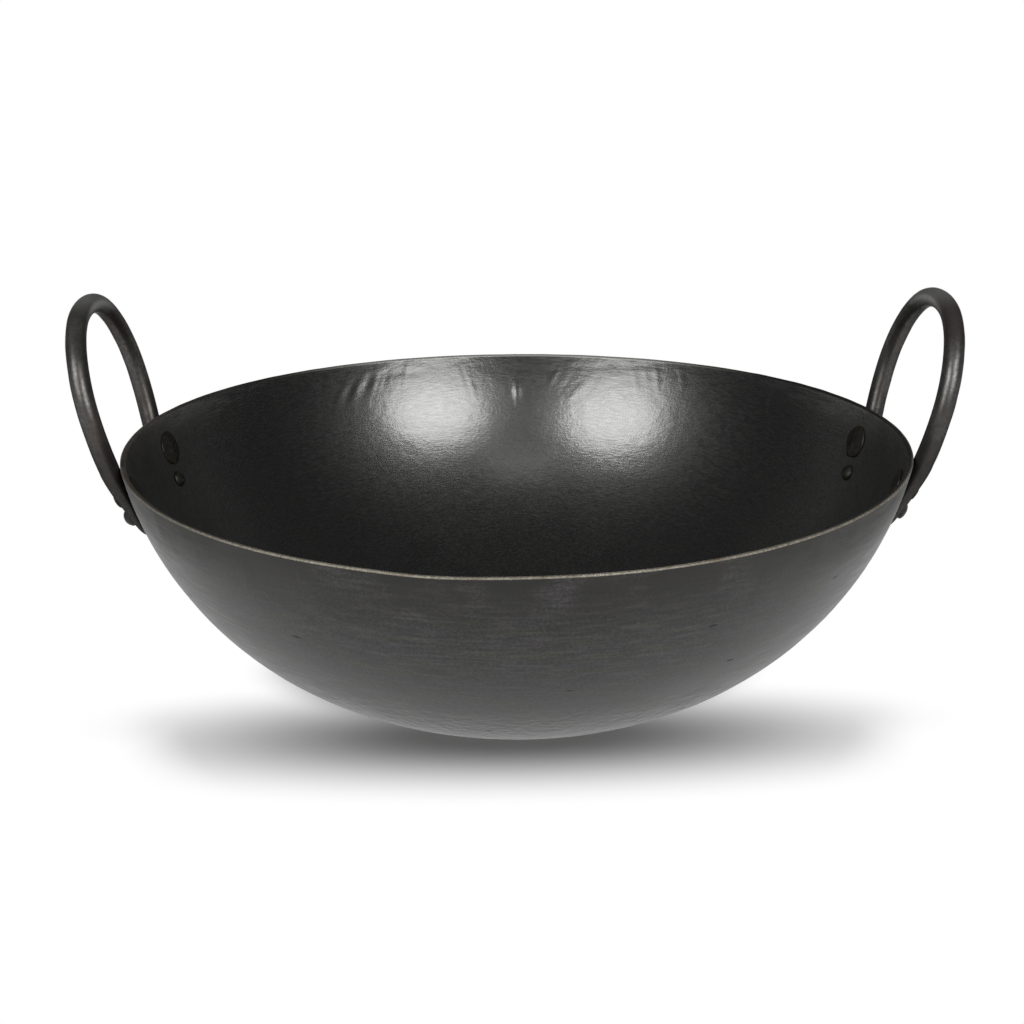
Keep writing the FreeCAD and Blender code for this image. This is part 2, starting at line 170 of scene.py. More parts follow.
def blow_marks(azimuth, drop):
    """The dents of the blows, for a grid of azimuths and drops below the edge."""
    blows = random.Random(11)
    offset = np.zeros(azimuth.shape)
    down = first_round
    lowest = rim_turn * wall_radius
    while down < lowest:
        reach = flat_radius + wall_radius * math.sin(rim_turn - down / wall_radius)
        count = round(2 * math.pi * reach / blow_pitch)
        start = blows.uniform(0, 2 * math.pi)
        for blow in range(count):
            astray = blows.uniform(-blow_scatter_round, blow_scatter_round)
            middle = start + 2 * math.pi * (blow + astray) / count
            offset += dent(
                azimuth,
                drop,
                middle,
                down + blows.uniform(-blow_scatter_down, blow_scatter_down) * blow_pitch,
                blow_width * blows.uniform(*BLOW_WIDTHS),
                blow_length * blows.uniform(*BLOW_LENGTHS),
                blows.uniform(-blow_slant, blow_slant),
                blow_depth * blows.uniform(*BLOW_DEPTHS),
            )
        down += blow_pitch
    return offset


def folds(azimuth, drop):
    """The puckers and the rings below the edge."""
    folding = random.Random(23)
    offset = np.zeros(azimuth.shape)
    for turn, down_mm, length_mm, width_mm, slant, depth_mm in PUCKERS:
        offset += dent(
            azimuth,
            drop,
            math.radians(turn),
            down_mm / 1000,
            length_mm / 1000,
            width_mm / 1000,
            math.radians(slant),
            depth_mm / 1000,
        )
    for _ in range(spare_puckers):
        middle = math.radians(folding.uniform(*SPARE_TURNS))
        offset += dent(
            azimuth,
            drop,
            middle,
            folding.uniform(*SPARE_DROPS),
            folding.uniform(*SPARE_LENGTHS),
            folding.uniform(*SPARE_WIDTHS),
            folding.uniform(-spare_slant, spare_slant),
            folding.uniform(-spare_depth, spare_depth),
        )
    spots = [Vector((math.cos(a), math.sin(a), 0)) * rim_radius for a in azimuth[0]]
    wander = np.array([perlin.noise(spot / stake_ring_size) for spot in spots])
    elsewhere = Vector((0, 0, 9))
    firmness = np.array([perlin.noise(spot / stake_ring_size + elsewhere) for spot in spots])
    firmness = stake_ring_firmness + stake_ring_change * firmness
    away = drop - stake_ring_drop - stake_ring_wander * wander[None, :]
    offset -= stake_ring_depth * firmness[None, :] * np.exp(-(away / stake_ring_width) ** 2)
    for row in range(len(drop)):
        if drop[row].min() < 3 * ripple_reach:
            up = Vector((0, 0, float(drop[row].mean()) / ripple_pitch))
            ripples = np.array([perlin.noise(spot / ripple_length + up) for spot in spots])
            offset[row] += ripple_depth * ripples * np.exp(-(drop[row] / ripple_reach) ** 2)
    return offset


def beaten_offset(azimuth, drop, share):
    """How far a face of the sheet stands off its true arc, with a share of the depth of the blows."""
    beside_foot = np.clip(np.abs(np.sin(azimuth)) / math.sin(foot_zone_turn), 0, 1)
    below_foot = np.clip(drop / foot_zone_drop, 0, 1)
    above_flat = np.clip((rim_turn * wall_radius - drop) / flat_fade, 0, 1)
    offset = share * blow_marks(azimuth, drop) + folds(azimuth, drop)
    return offset * np.maximum(beside_foot, below_foot) ** foot_zone_sharpness * above_flat


def wall_point(azimuth, turn, offset):
    """A point of the wall, by its azimuth, its angle up the wall's arc and its offset outward."""
    reach = flat_radius + (wall_radius + offset) * np.sin(turn)
    height = wall_radius - (wall_radius + offset) * np.cos(turn)
    return np.stack([reach * np.cos(azimuth), reach * np.sin(azimuth), height], axis=-1)


def bowl_rows():
    """Rings of points from the middle of the base, up the outside, over the edge and down the inside."""
    even = np.linspace(0, 2 * math.pi, bowl_columns, endpoint=False)
    azimuth = even + column_crowding * np.cos(even)
    outer_edge = rim_turn + (rim_lift(azimuth) + edge_ripples(azimuth)) / wall_radius
    inner_edge = np.arccos(wall_radius * np.cos(outer_edge) / (wall_radius - edge_sheet))
    corner_turn = edge_round / wall_radius
    walls = []
    edge_offsets = []
    for edge, steps, share, thick in ((outer_edge, outside_steps, 1.0, 0.0),
                                      (inner_edge, inside_steps, blow_inside, sheet)):
        shares = 1 - (1 - np.linspace(0, 1, steps)) ** row_crowding
        ring = np.tile(azimuth, (steps, 1))
        turn = shares[:, None] * (edge - corner_turn)[None, :]
        drop = (edge[None, :] - turn) * wall_radius
        thinning = (sheet - edge_sheet) * np.exp(-drop / edge_taper) if thick else 0
        offset = beaten_offset(ring, drop, share) - thick + thinning
        walls.append(wall_point(ring, turn, offset))
        edge_offsets.append(offset[-1])
    corners = []
    for step in range(1, 2 * corner_steps + 1):
        outer = step <= corner_steps
        turned = step if outer else 2 * corner_steps + 1 - step
        swing = math.pi / 2 * turned / corner_steps
        inset = edge_round * (1 - math.cos(swing))
        rise = (outer_edge if outer else inner_edge) - corner_turn * (1 - math.sin(swing))
        offset = edge_offsets[0] - inset if outer else edge_offsets[1] + inset
        corners.append(wall_point(azimuth, rise, offset))
    flat_shares = np.arange(1, flat_rows + 1) / (flat_rows + 1)
    flat = np.stack([np.cos(azimuth), np.sin(azimuth), np.zeros(bowl_columns)], axis=-1)
    flat = flat_shares[:, None, None] * flat * flat_radius
    inner_flat = flat + np.array([0, 0, sheet])
    return np.concatenate([flat, walls[0], np.array(corners), walls[1][::-1], inner_flat[::-1]])


def ring_mesh(name, rows, first_cap, last_cap):
    """A closed mesh over rings of points, with a middle point at each end."""
    count, columns = rows.shape[:2]
    points = np.concatenate([rows.reshape(-1, 3), [first_cap, last_cap]])
    row, column = np.meshgrid(np.arange(count - 1), np.arange(columns), indexing="ij")
    following = (column + 1) % columns
    sides = np.stack([row * columns + column, row * columns + following,
                      (row + 1) * columns + following, (row + 1) * columns + column], axis=-1)
    around = np.arange(columns)
    beyond = (around + 1) % columns
    first, last = count * columns, count * columns + 1
    top = (count - 1) * columns
    faces = sides.reshape(-1, 4).tolist()
    faces += np.stack([np.full(columns, first), beyond, around], axis=-1).tolist()
    faces += np.stack([np.full(columns, last), top + around, top + beyond], axis=-1).tolist()
    mesh = bpy.data.meshes.new(name)
    mesh.from_pydata(points.tolist(), [], faces)
    mesh.update()
    mesh.shade_smooth()
    return mesh


def show(name, mesh):
    """Puts a mesh into the scene as an object."""
    shown = bpy.data.objects.new(name, mesh)
    bpy.context.scene.collection.objects.link(shown)
    return shown


def new_finish(name, **even):
    """A material and its shader, with the properties that are the same all over set on the shader."""
    finish = bpy.data.materials.new(name)
    finish.use_nodes = True
    shader = finish.node_tree.nodes["Principled BSDF"]
    for socket, value in even.items():
        shader.inputs[socket.replace("_", " ")].default_value = value
    return finish, shader


def add_node(finish, kind, sockets=(), **settings):
    """Adds a node, sets its properties, and sets or links its sockets."""
    node = finish.node_tree.nodes.new(kind)
    for setting, value in settings.items():
        setattr(node, setting, value)
    for socket, value in dict(sockets).items():
        link(finish, value, node.inputs[socket])
    return node


def link(finish, value, socket):
    """Feeds a socket from another node's output, or sets it to a plain value."""
    if isinstance(value, bpy.types.NodeSocket):
        finish.node_tree.links.new(value, socket)
    else:
        socket.default_value = value


def grain(finish, place, size, detail=2.0, warp=0.0):
    """Cloudy noise with patches of about that size."""
    sockets = {"Vector": place, "Scale": 1 / size, "Detail": detail, "Distortion": warp}
    return add_node(finish, "ShaderNodeTexNoise", sockets).outputs[0]


def span(finish, value, low, high, to_low=0.0, to_high=1.0):
    """Takes a value from one range to another, and holds it at the ends."""
    sockets = {"Value": value, "From Min": low, "From Max": high, "To Min": to_low, "To Max": to_high}
    return add_node(finish, "ShaderNodeMapRange", sockets).outputs[0]


def sums(finish, operation, first, second):
    """One step of arithmetic on two values."""
    return add_node(finish, "ShaderNodeMath", {0: first, 1: second}, operation=operation).outputs[0]


def blend(finish, share, first, second):
    """Goes from the first colour to the second as the share goes from 0 to 1."""
    sockets = {0: share, 6: (*first, 1) if isinstance(first, tuple) else first,
               7: (*second, 1) if isinstance(second, tuple) else second}
    return add_node(finish, "ShaderNodeMix", sockets, data_type="RGBA").outputs[2]


def spot_in_metres(finish):
    """The point of the surface that is being coloured."""
    return add_node(finish, "ShaderNodeTexCoord").outputs["Object"]


def height_of(finish, place):
    """The height of a point above the table."""
    return add_node(finish, "ShaderNodeSeparateXYZ", {0: place}).outputs["Z"]


def round_the_bowl(finish, place, stretch):
    """A place for grain that is drawn out round the bowl, as it is left by rubbing it round and round."""
    axes = add_node(finish, "ShaderNodeSeparateXYZ", {0: place}).outputs
    level = add_node(finish, "ShaderNodeCombineXYZ", {0: axes["X"], 1: axes["Y"]}).outputs[0]
    spoke = add_node(finish, "ShaderNodeVectorMath", {0: level}, operation="NORMALIZE").outputs["Vector"]
    reach = add_node(finish, "ShaderNodeVectorMath", {0: level}, operation="LENGTH").outputs["Value"]
    ring = add_node(finish, "ShaderNodeVectorMath", {0: spoke, "Scale": rim_radius / stretch},
                    operation="SCALE").outputs[0]
    up = sums(finish, "ADD", reach, axes["Z"])
    rise = add_node(finish, "ShaderNodeCombineXYZ", {2: up}).outputs[0]
    return add_node(finish, "ShaderNodeVectorMath", {0: ring, 1: rise}, operation="ADD").outputs[0]


def bump(finish, height, depth, share, under=None):
    """Fine relief, of that depth in metres, over any relief already there."""
    sockets = {"Height": height, "Distance": depth, "Strength": share}
    if under is not None:
        sockets["Normal"] = under
    return add_node(finish, "ShaderNodeBump", sockets).outputs[0]


def past_edge(finish):
    """How far a point lies inward from the outer corner of the edge, or below 0 down the outside."""
    return add_node(finish, "ShaderNodeAttribute", attribute_name="past_edge").outputs["Fac"]


def edge_wear(finish, place, start, reach):
    """How much of the black has gone near the cut edge: all of it at the start, then patches."""
    patch_size = 0.005
    below = sums(finish, "SUBTRACT", sums(finish, "ABSOLUTE", past_edge(finish), 0), start)
    ragged = sums(finish, "MULTIPLY", grain(finish, place, patch_size, 4), 2 * reach)
    return span(finish, sums(finish, "SUBTRACT", ragged, below), -0.2 * reach, 0.6 * reach)


def outside_finish():
    """Black iron, rubbed round and round, tinted by old oil, pitted, and scuffed pale towards the bottom,
    where the paleness is partly a painted reflection of the white floor.
    """
    olive_black = (0.0115, 0.012, 0.0055)
    plain_black = (0.0098, 0.0095, 0.009)
    violet_black = (0.0145, 0.0111, 0.014)
    rubbed_pale = (0.035, 0.0338, 0.0321)
    rubbed_dark = (0.0008, 0.0008, 0.0008)
    oil_black = (0.0034, 0.003, 0.0014)
    scuff_and_reflection_grey = (0.17, 0.166, 0.158)
    pit_black = (0.0008, 0.0008, 0.0007)
    worn_brown = (0.05, 0.034, 0.021)
    streak_size = 0.0018
    smear_size = 0.006
    sand_size = 0.001
    oil_patch_size = 0.02
    pit_pitch = 0.007
    dint_size = 0.0035
    dint_depth = 0.0015
    finish, shader = new_finish("blackened_outside", Specular_IOR_Level=0.4)
    place = spot_in_metres(finish)
    high = height_of(finish, place)
    rubbed = grain(finish, round_the_bowl(finish, place, 8), streak_size, 4)
    smeared = grain(finish, round_the_bowl(finish, place, 4), smear_size, 4)
    sandy = grain(finish, place, sand_size, 2)
    colour = blend(finish, span(finish, smeared, 0.34, 0.48), olive_black, plain_black)
    colour = blend(finish, span(finish, smeared, 0.5, 0.66), colour, violet_black)
    for marks, share in ((rubbed, 0.75), (sandy, 0.5)):
        colour = blend(finish, span(finish, marks, 0.5, 0.7, 0.0, share), colour, rubbed_pale)
        colour = blend(finish, span(finish, marks, 0.5, 0.3, 0.0, share), colour, rubbed_dark)
    below_rim = span(finish, high, 0.078, 0.107)
    oily = span(finish, grain(finish, place, oil_patch_size, 3), 0.3, 0.5)
    colour = blend(finish, sums(finish, "MULTIPLY", below_rim, oily), colour, oil_black)
    # Scuffs and painted reflection: towards the bottom the colour turns pale grey in patches, standing
    # partly for the white floor mirrored there.
    low_down = span(finish, high, 0.034, 0.0)
    scuffed = span(finish, sums(finish, "ADD", rubbed, sandy), 0.85, 1.2)
    colour = blend(finish, sums(finish, "MULTIPLY", low_down, scuffed), colour, scuff_and_reflection_grey)
    cells = add_node(finish, "ShaderNodeTexVoronoi",
                     {"Vector": round_the_bowl(finish, place, 2.4), "Scale": 1 / pit_pitch}).outputs
    chance = add_node(finish, "ShaderNodeSeparateColor", {0: cells["Color"]}).outputs[0]
    chance = sums(finish, "ADD", chance, span(finish, high, 0.1, 0.0, 0.015, 0.09))
    chosen = span(finish, chance, 0.97, 0.99, 0.0, 0.8)
    pits = sums(finish, "MULTIPLY", span(finish, cells["Distance"], 0.16, 0.07), chosen)
    colour = blend(finish, pits, colour, pit_black)
    worn = edge_wear(finish, place, 0.0003, 0.0004)
    colour = blend(finish, worn, colour, worn_brown)
    link(finish, colour, shader.inputs["Base Color"])
    polish = span(finish, rubbed, 0.3, 0.7, 0.33, 0.44)
    polish = sums(finish, "ADD", polish, sums(finish, "MULTIPLY", pits, 0.4))
    beside = sums(finish, "ABSOLUTE", add_node(finish, "ShaderNodeSeparateXYZ", {0: place}).outputs["X"], 0)
    at_side = span(finish, beside, 0.07, 0.11)
    dull = sums(finish, "MULTIPLY", at_side, span(finish, high, 0.089, 0.106, 0.0, 0.22))
    link(finish, sums(finish, "ADD", polish, dull), shader.inputs["Roughness"])
    relief = bump(finish, rubbed, 0.00004, 0.3)
    relief = bump(finish, sandy, 0.00008, 0.3, relief)
    dinted = sums(finish, "MULTIPLY", span(finish, high, 0.05, 0.01), grain(finish, place, dint_size, 4))
    relief = bump(finish, dinted, dint_depth, 0.9, relief)
    relief = bump(finish, span(finish, pits, 0, 1, 1, 0), 0.0003, 0.7, relief)
    link(finish, relief, shader.inputs["Normal"])
    return finish


def inside_finish():
    """Black iron, smoother than the outside, with round grain from wiping and ripples below the rim, a
    painted sheen on the side walls and painted shade on the back wall away from its middle.
    """
    deep_black = (0.001, 0.001, 0.0011)
    hazy_black = (0.0042, 0.0042, 0.004)
    painted_side_sheen = (0.021, 0.021, 0.0202)
    patchy_sheen_grey = (0.034, 0.032, 0.0265)
    sand_pale = (0.0102, 0.01, 0.0094)
    darker_black = (0.0004, 0.0004, 0.0004)
    speck_grey = (0.05, 0.05, 0.048)
    worn_brown = (0.05, 0.04, 0.03)
    wipe_size = 0.001
    sand_size = 0.0011
    haze_size = 0.02
    speck_pitch = 0.006
    ripple_size = 0.0032
    lump_size = 0.006
    finish, shader = new_finish("seasoned_inside", Specular_IOR_Level=0.52, Coat_Weight=0.9,
                                Coat_Roughness=0.18)
    place = spot_in_metres(finish)
    rubbed = grain(finish, round_the_bowl(finish, place, 4), wipe_size, 3)
    sandy = grain(finish, place, sand_size, 2)
    hazy = grain(finish, place, haze_size, 4)
    colour = blend(finish, span(finish, hazy, 0.35, 0.65), deep_black, hazy_black)
    axes = add_node(finish, "ShaderNodeSeparateXYZ", {0: place}).outputs
    beside = sums(finish, "ABSOLUTE", axes["X"], 0)
    not_back = span(finish, axes["Y"], 0.1, 0.05)
    # Painted sheen: away from the back, the inside walls at the sides are lightened grey.
    at_side = sums(finish, "MULTIPLY", span(finish, beside, 0.1, 0.145, 0.0, 0.6), not_back)
    colour = blend(finish, at_side, colour, painted_side_sheen)
    near_rim = span(finish, height_of(finish, place), 0.08, 0.107)
    # Painted sheen: near the rim at the sides it is paler still, in patches.
    patchy_sheen = span(finish, sums(finish, "MULTIPLY", near_rim, hazy), 0.25, 0.6)
    colour = blend(finish, sums(finish, "MULTIPLY", at_side, patchy_sheen), colour, patchy_sheen_grey)
    colour = blend(finish, span(finish, sandy, 0.5, 0.7, 0.0, 0.8), colour, sand_pale)
    colour = blend(finish, span(finish, sandy, 0.5, 0.32, 0.0, 0.8), colour, darker_black)
    # Painted shade: the back wall is darkened nearly to black, except in its middle.
    at_back = span(finish, axes["Y"], 0.03, 0.09)
    darkened_share = sums(finish, "MULTIPLY", span(finish, beside, 0.04, 0.08, 0.0, 0.85), at_back)
    colour = blend(finish, darkened_share, colour, darker_black)
    specks = add_node(finish, "ShaderNodeTexVoronoi", {"Vector": place, "Scale": 1 / speck_pitch}).outputs
    chance = add_node(finish, "ShaderNodeSeparateColor", {0: specks["Color"]}).outputs[0]
    chosen = span(finish, chance, 0.96, 0.98)
    speckled = sums(finish, "MULTIPLY", span(finish, specks["Distance"], 0.1, 0.05), chosen)
    colour = blend(finish, speckled, colour, speck_grey)
    worn = edge_wear(finish, place, edge_sheet - edge_round, 0.0002)
    colour = blend(finish, worn, colour, worn_brown)
    link(finish, colour, shader.inputs["Base Color"])
    link(finish, span(finish, rubbed, 0.3, 0.7, 0.3, 0.44), shader.inputs["Roughness"])
    rippled = grain(finish, round_the_bowl(finish, place, 3.0), ripple_size, 3, 0.8)
    relief = bump(finish, grain(finish, place, lump_size, 4), 0.00014, 0.7)
    relief = bump(finish, sums(finish, "MULTIPLY", rippled, near_rim), 0.00013, 0.55, relief)
    relief = bump(finish, rubbed, 0.00007, 0.6, relief)
    relief = bump(finish, sandy, 0.00005, 0.58, relief)
    link(finish, relief, shader.inputs["Normal"])
    link(finish, relief, shader.inputs["Coat Normal"])
    return finish


def bare_edge_finish():
    """Bare ground iron, speckled and rusty in front, greasy at the sides with its inner half dark there, and
    pale with painted light at the back.
    """
    ground_dark = (0.075, 0.069, 0.056)
    ground_pale = (0.166, 0.152, 0.126)
    rust = (0.075, 0.056, 0.038)
    painted_back_edge_light = (0.21, 0.21, 0.206)
    grease_brown = (0.034, 0.026, 0.019)
    seasoned_black = (0.0045, 0.0042, 0.004)
    speckle_size = 0.0012
    rust_patch_size = 0.012
    gloss_patch_size = 0.002
    filing_size = 0.0007
    filing_depth = 0.0002
    finish, shader = new_finish("bare_edge", Metallic=0.25, Specular_IOR_Level=0.5)
    place = spot_in_metres(finish)
    axes = add_node(finish, "ShaderNodeSeparateXYZ", {0: place}).outputs
    speckled = span(finish, grain(finish, place, speckle_size, 4), 0.3, 0.7)
    colour = blend(finish, speckled, ground_dark, ground_pale)
    rusty = span(finish, grain(finish, place, rust_patch_size, 4), 0.52, 0.68, 0.0, 0.8)
    colour = blend(finish, rusty, colour, rust)
    beside = sums(finish, "ABSOLUTE", axes["X"], 0)
    # Painted light: between the handles the edge at the back is lightened to a pale grey.
    between_handles = span(finish, beside, 0.11, 0.07)
    at_back = sums(finish, "MULTIPLY", span(finish, axes["Y"], 0.05, 0.11), between_handles)
    colour = blend(finish, at_back, colour, painted_back_edge_light)
    more_at_left = span(finish, axes["X"], -0.1, 0.1, 0.85, 0.25)
    greasy = sums(finish, "MULTIPLY", span(finish, beside, 0.09, 0.14, 0.0, 0.7), more_at_left)
    colour = blend(finish, greasy, colour, grease_brown)
    inner_half = sums(finish, "MULTIPLY", span(finish, beside, 0.06, 0.12, 0.1, 1.0),
                      span(finish, past_edge(finish), -0.0003, 0.0005))
    less_at_left = span(finish, axes["X"], -0.15, -0.12, 0.6, 1.0)
    inner_half = sums(finish, "MULTIPLY", inner_half, less_at_left)
    colour = blend(finish, inner_half, colour, seasoned_black)
    link(finish, colour, shader.inputs["Base Color"])
    glossy = grain(finish, place, gloss_patch_size, 3)
    link(finish, span(finish, glossy, 0.3, 0.7, 0.45, 0.65), shader.inputs["Roughness"])
    filed = grain(finish, place, filing_size, 3)
    link(finish, bump(finish, filed, filing_depth, 0.5), shader.inputs["Normal"])
    return finish


rows = bowl_rows()
bowl_mesh = ring_mesh("beaten_bowl", rows, (0, 0, 0), (0, 0, sheet))
for finish in (outside_finish(), bare_edge_finish(), inside_finish()):
    bowl_mesh.materials.append(finish)
outside_rows = flat_rows + outside_steps
edge_rows = 2 * corner_steps
edge_slot = 1
inside_slot = 2
row_face = np.zeros(len(rows) - 1, int)
row_face[outside_rows - 1:outside_rows + edge_rows] = edge_slot
row_face[outside_rows + edge_rows:] = inside_slot
face_finish = np.concatenate([np.repeat(row_face, bowl_columns), np.zeros(bowl_columns, int),
                              np.full(bowl_columns, inside_slot)])
bowl_mesh.polygons.foreach_set("material_index", face_finish.astype(np.int32))
row_gaps = np.linalg.norm(np.diff(rows, axis=0), axis=-1)
edge_row = outside_rows + corner_steps - 1
along = np.concatenate([np.zeros((1, bowl_columns)), np.cumsum(row_gaps, axis=0)])
from_corner = (along - along[edge_row]).ravel()
attribute = bowl_mesh.attributes.new("past_edge", "FLOAT", "POINT")
attribute.data.foreach_set("value", np.append(from_corner, [-rim_radius, rim_radius]).astype(np.float32))
bowl = show("beaten_bowl", bowl_mesh)
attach(bowl, "root")
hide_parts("bowl")

# The handles
# Two lengths of round iron bar, each bent hot to a leaning loop. Below the rim the ends are drawn out flat
# to thin round tabs that lie on the wall. They are black from the forge and brown in patches, with painted
# light on the top of each loop.
bar_diameter = 0.008
loop_rise = 0.0587
crown_radius = 0.062
crown_turn = math.radians(11.3)
shoulder_radius = 0.038
neck_radius = 0.063
lean = math.radians(13)
seat_gap = 0.00005
scarf_drop = 0.022
scarf_curve = 1.15
tab_thickness = 0.003
tip_thickness = 0.0018
tip_edge_share = 0.35
tab_width = 0.014
upper_drop = {"front": 0.012, "back": 0.013}
lower_drop = {"front": 0.0204, "back": 0.026}
tip_drop = {"front": 0.0224, "back": 0.027}
LEGS = {"front": -1, "back": 1}
SIDES = {"right": 1, "left": -1}

bar_points = 36
bar_step = 0.0012
foot_crowding = 1.4
least_half_width = 0.0004
round_section = 2.0
tab_squareness = 1.6
leg_turn_height = 0.02
forge_depth = 0.00009
forge_size = 0.007
forge_seed = 3

crown_up = loop_rise - crown_radius
shoulder_out = (crown_radius - shoulder_radius) * math.sin(crown_turn)
shoulder_up = crown_up + (crown_radius - shoulder_radius) * math.cos(crown_turn)
neck_out = shoulder_out + shoulder_radius - neck_radius
neck_turn = math.asin(shoulder_up / neck_radius)
rim_spread = neck_out + neck_radius * math.cos(neck_turn)
loop_reach = math.sqrt((rim_radius + seat_gap + bar_diameter / 2 / math.cos(lean)) ** 2 - rim_spread ** 2)


def leg_seat(drop, sign):
    """Where the middle line of a leg meets the outside of the wall, and the direction square to it."""
    spread = rim_spread - drop / math.cos(lean) * math.tan(neck_turn)
    azimuth = sign * math.atan2(spread, loop_reach - drop * math.tan(lean))
    turn = math.acos(1 - (rim_height - drop) / wall_radius)
    level = math.sin(turn)
    square = Vector((math.cos(azimuth) * level, math.sin(azimuth) * level, -math.cos(turn)))
    return Vector(wall_point(azimuth, turn, 0)), square


def foot_thickness(drop):
    """How thick the foot is at a drop below the rim: the bar's own thickness, drawn down to the tab's."""
    share = min(max(drop / scarf_drop, 0), 1)
    return bar_diameter + (tab_thickness - bar_diameter) * share ** scarf_curve


def foot_stations(leg):
    """Sections of one foot from its tip up to the rim: middle, direction, half sizes and squareness."""
    sign = LEGS[leg]
    tip_round = tab_width / 2
    down_the_leg = math.cos(lean) * math.cos(neck_turn)
    end = tip_drop[leg] + tip_round * down_the_leg
    stations = []
    count = round(end / bar_step)
    for index in range(count + 1):
        share = index / count
        drop = end * (1 - share ** foot_crowding)
        past_tip = (drop - tip_drop[leg]) / down_the_leg
        if past_tip > 0:
            half_width = math.sqrt(max(tip_round ** 2 - past_tip ** 2, 0))
        else:
            widening = (drop - upper_drop[leg]) / (tip_drop[leg] - upper_drop[leg])
            widening = min(max(widening, 0), 1)
            ease = widening * widening * (3 - 2 * widening)
            half_width = bar_diameter / 2 + (tip_round - bar_diameter / 2) * ease
        thickness = foot_thickness(drop)
        if drop > scarf_drop:
            thinning = (drop - scarf_drop) / (end - scarf_drop)
            thickness += (tip_thickness - tab_thickness) * thinning
        if past_tip > 0:
            thickness *= tip_edge_share + (1 - tip_edge_share) * half_width / tip_round
        seat, square = leg_seat(drop, sign)
        middle = seat + square * (thickness / 2 + seat_gap)
        squareness = round_section + tab_squareness * min(drop / scarf_drop, 1)
        stations.append((middle, square, max(half_width, least_half_width), thickness / 2, squareness))
    return stations


def loop_stations():
    """Sections of the round bar over the rim, from the front leg to the back one."""
    turns = []
    for radius, out, up, first, last in (
        (neck_radius, neck_out, shoulder_up, -neck_turn, 0),
        (shoulder_radius, shoulder_out, shoulder_up, 0, math.pi / 2 - crown_turn),
        (crown_radius, 0, crown_up, math.pi / 2 - crown_turn, math.pi / 2),
    ):
        count = round(radius * (last - first) / bar_step)
        for index in range(count):
            turn = first + (last - first) * (index + 0.5) / count
            turns.append((out + radius * math.cos(turn), up + radius * math.sin(turn)))
    square = Vector((math.cos(lean), 0, -math.sin(lean)))
    half = bar_diameter / 2
    stations = []
    line = [(-out, up) for out, up in turns] + list(reversed(turns))
    for out, up in line:
        middle = Vector((loop_reach + up * math.sin(lean), out, rim_height + up * math.cos(lean)))
        _, at_rim = leg_seat(0, math.copysign(1, out))
        turned = square.lerp(at_rim, min(max(1 - up / leg_turn_height, 0), 1)).normalized()
        stations.append((middle, turned, half, half, round_section))
    return stations


def handle_rows(stations, seed):
    """Rings of points round the bar, a little uneven from the forge."""
    middles = [station[0] for station in stations]
    rows = []
    for index, (middle, square, half_width, half_thickness, squareness) in enumerate(stations):
        before = middles[max(index - 1, 0)]
        after = middles[min(index + 1, len(middles) - 1)]
        ahead = (after - before).normalized()
        sideways = ahead.cross(square).normalized()
        outward = sideways.cross(ahead)
        ring = []
        for step in range(bar_points):
            swing = 2 * math.pi * step / bar_points
            across = math.copysign(abs(math.cos(swing)) ** (2 / squareness), math.cos(swing)) * half_width
            away = math.copysign(abs(math.sin(swing)) ** (2 / squareness), math.sin(swing)) * half_thickness
            sag = across * across / (2 * rim_radius) if squareness > round_section else 0
            spot = middle + sideways * across + outward * (away - sag)
            uneven = perlin.noise(spot / forge_size + Vector((seed, 0, 0))) * forge_depth
            push = sideways * math.cos(swing) + outward * max(math.sin(swing), 0)
            ring.append(spot + push * uneven)
        rows.append(ring)
    return np.array([[tuple(spot) for spot in ring] for ring in rows])


def handle_finish():
    """Forge-black bar: brown in patches, rubbed to a satin shine, with grain that runs along it and painted
    light on top.
    """
    scale_dark = (0.05, 0.048, 0.047)
    scale_pale = (0.094, 0.091, 0.088)
    darker_black = (0.038, 0.037, 0.036)
    rust_brown = (0.066, 0.053, 0.045)
    rim_black = (0.026, 0.025, 0.024)
    painted_crown_light = (0.36, 0.36, 0.355)
    streak_size = 0.0007
    scale_size = 0.0016
    soot_patch_size = 0.014
    rust_patch_size = 0.03
    pit_size = 0.0008
    along_the_bar = (1, 1, 0.12)
    finish, shader = new_finish("forged_bar", Metallic=0.82, Specular_Tint=(0.22, 0.22, 0.22, 1))
    place = spot_in_metres(finish)
    drawn = add_node(finish, "ShaderNodeVectorMath", {0: place, 1: along_the_bar},
                     operation="MULTIPLY").outputs[0]
    streaks = grain(finish, drawn, streak_size, 3)
    scale = grain(finish, place, scale_size, 4)
    colour = blend(finish, span(finish, scale, 0.3, 0.7), scale_dark, scale_pale)
    darkened_share = span(finish, grain(finish, place, soot_patch_size, 3), 0.4, 0.62, 0.0, 0.6)
    colour = blend(finish, darkened_share, colour, darker_black)
    brown = span(finish, grain(finish, place, rust_patch_size, 4), 0.54, 0.7, 0.0, 0.7)
    colour = blend(finish, brown, colour, rust_brown)
    by_the_rim = span(finish, height_of(finish, place), 0.128, 0.108, 0.0, 0.6)
    colour = blend(finish, by_the_rim, colour, rim_black)
    axes = add_node(finish, "ShaderNodeSeparateXYZ", {0: place}).outputs
    # Painted light: the top of each loop is lightened, less so at the front.
    not_in_front = span(finish, axes["Y"], -0.02, -0.004, 0.15, 1.0)
    painted_light_on_crown = sums(finish, "MULTIPLY", span(finish, axes["Z"], 0.158, 0.1685, 0.0, 0.85), not_in_front)
    colour = blend(finish, painted_light_on_crown, colour, painted_crown_light)
    link(finish, colour, shader.inputs["Base Color"])
    link(finish, span(finish, scale, 0.3, 0.7, 0.42, 0.33), shader.inputs["Roughness"])
    relief = bump(finish, streaks, 0.00003, 0.25)
    relief = bump(finish, grain(finish, place, pit_size, 3), 0.0001, 0.4, relief)
    link(finish, relief, shader.inputs["Normal"])
    return finish


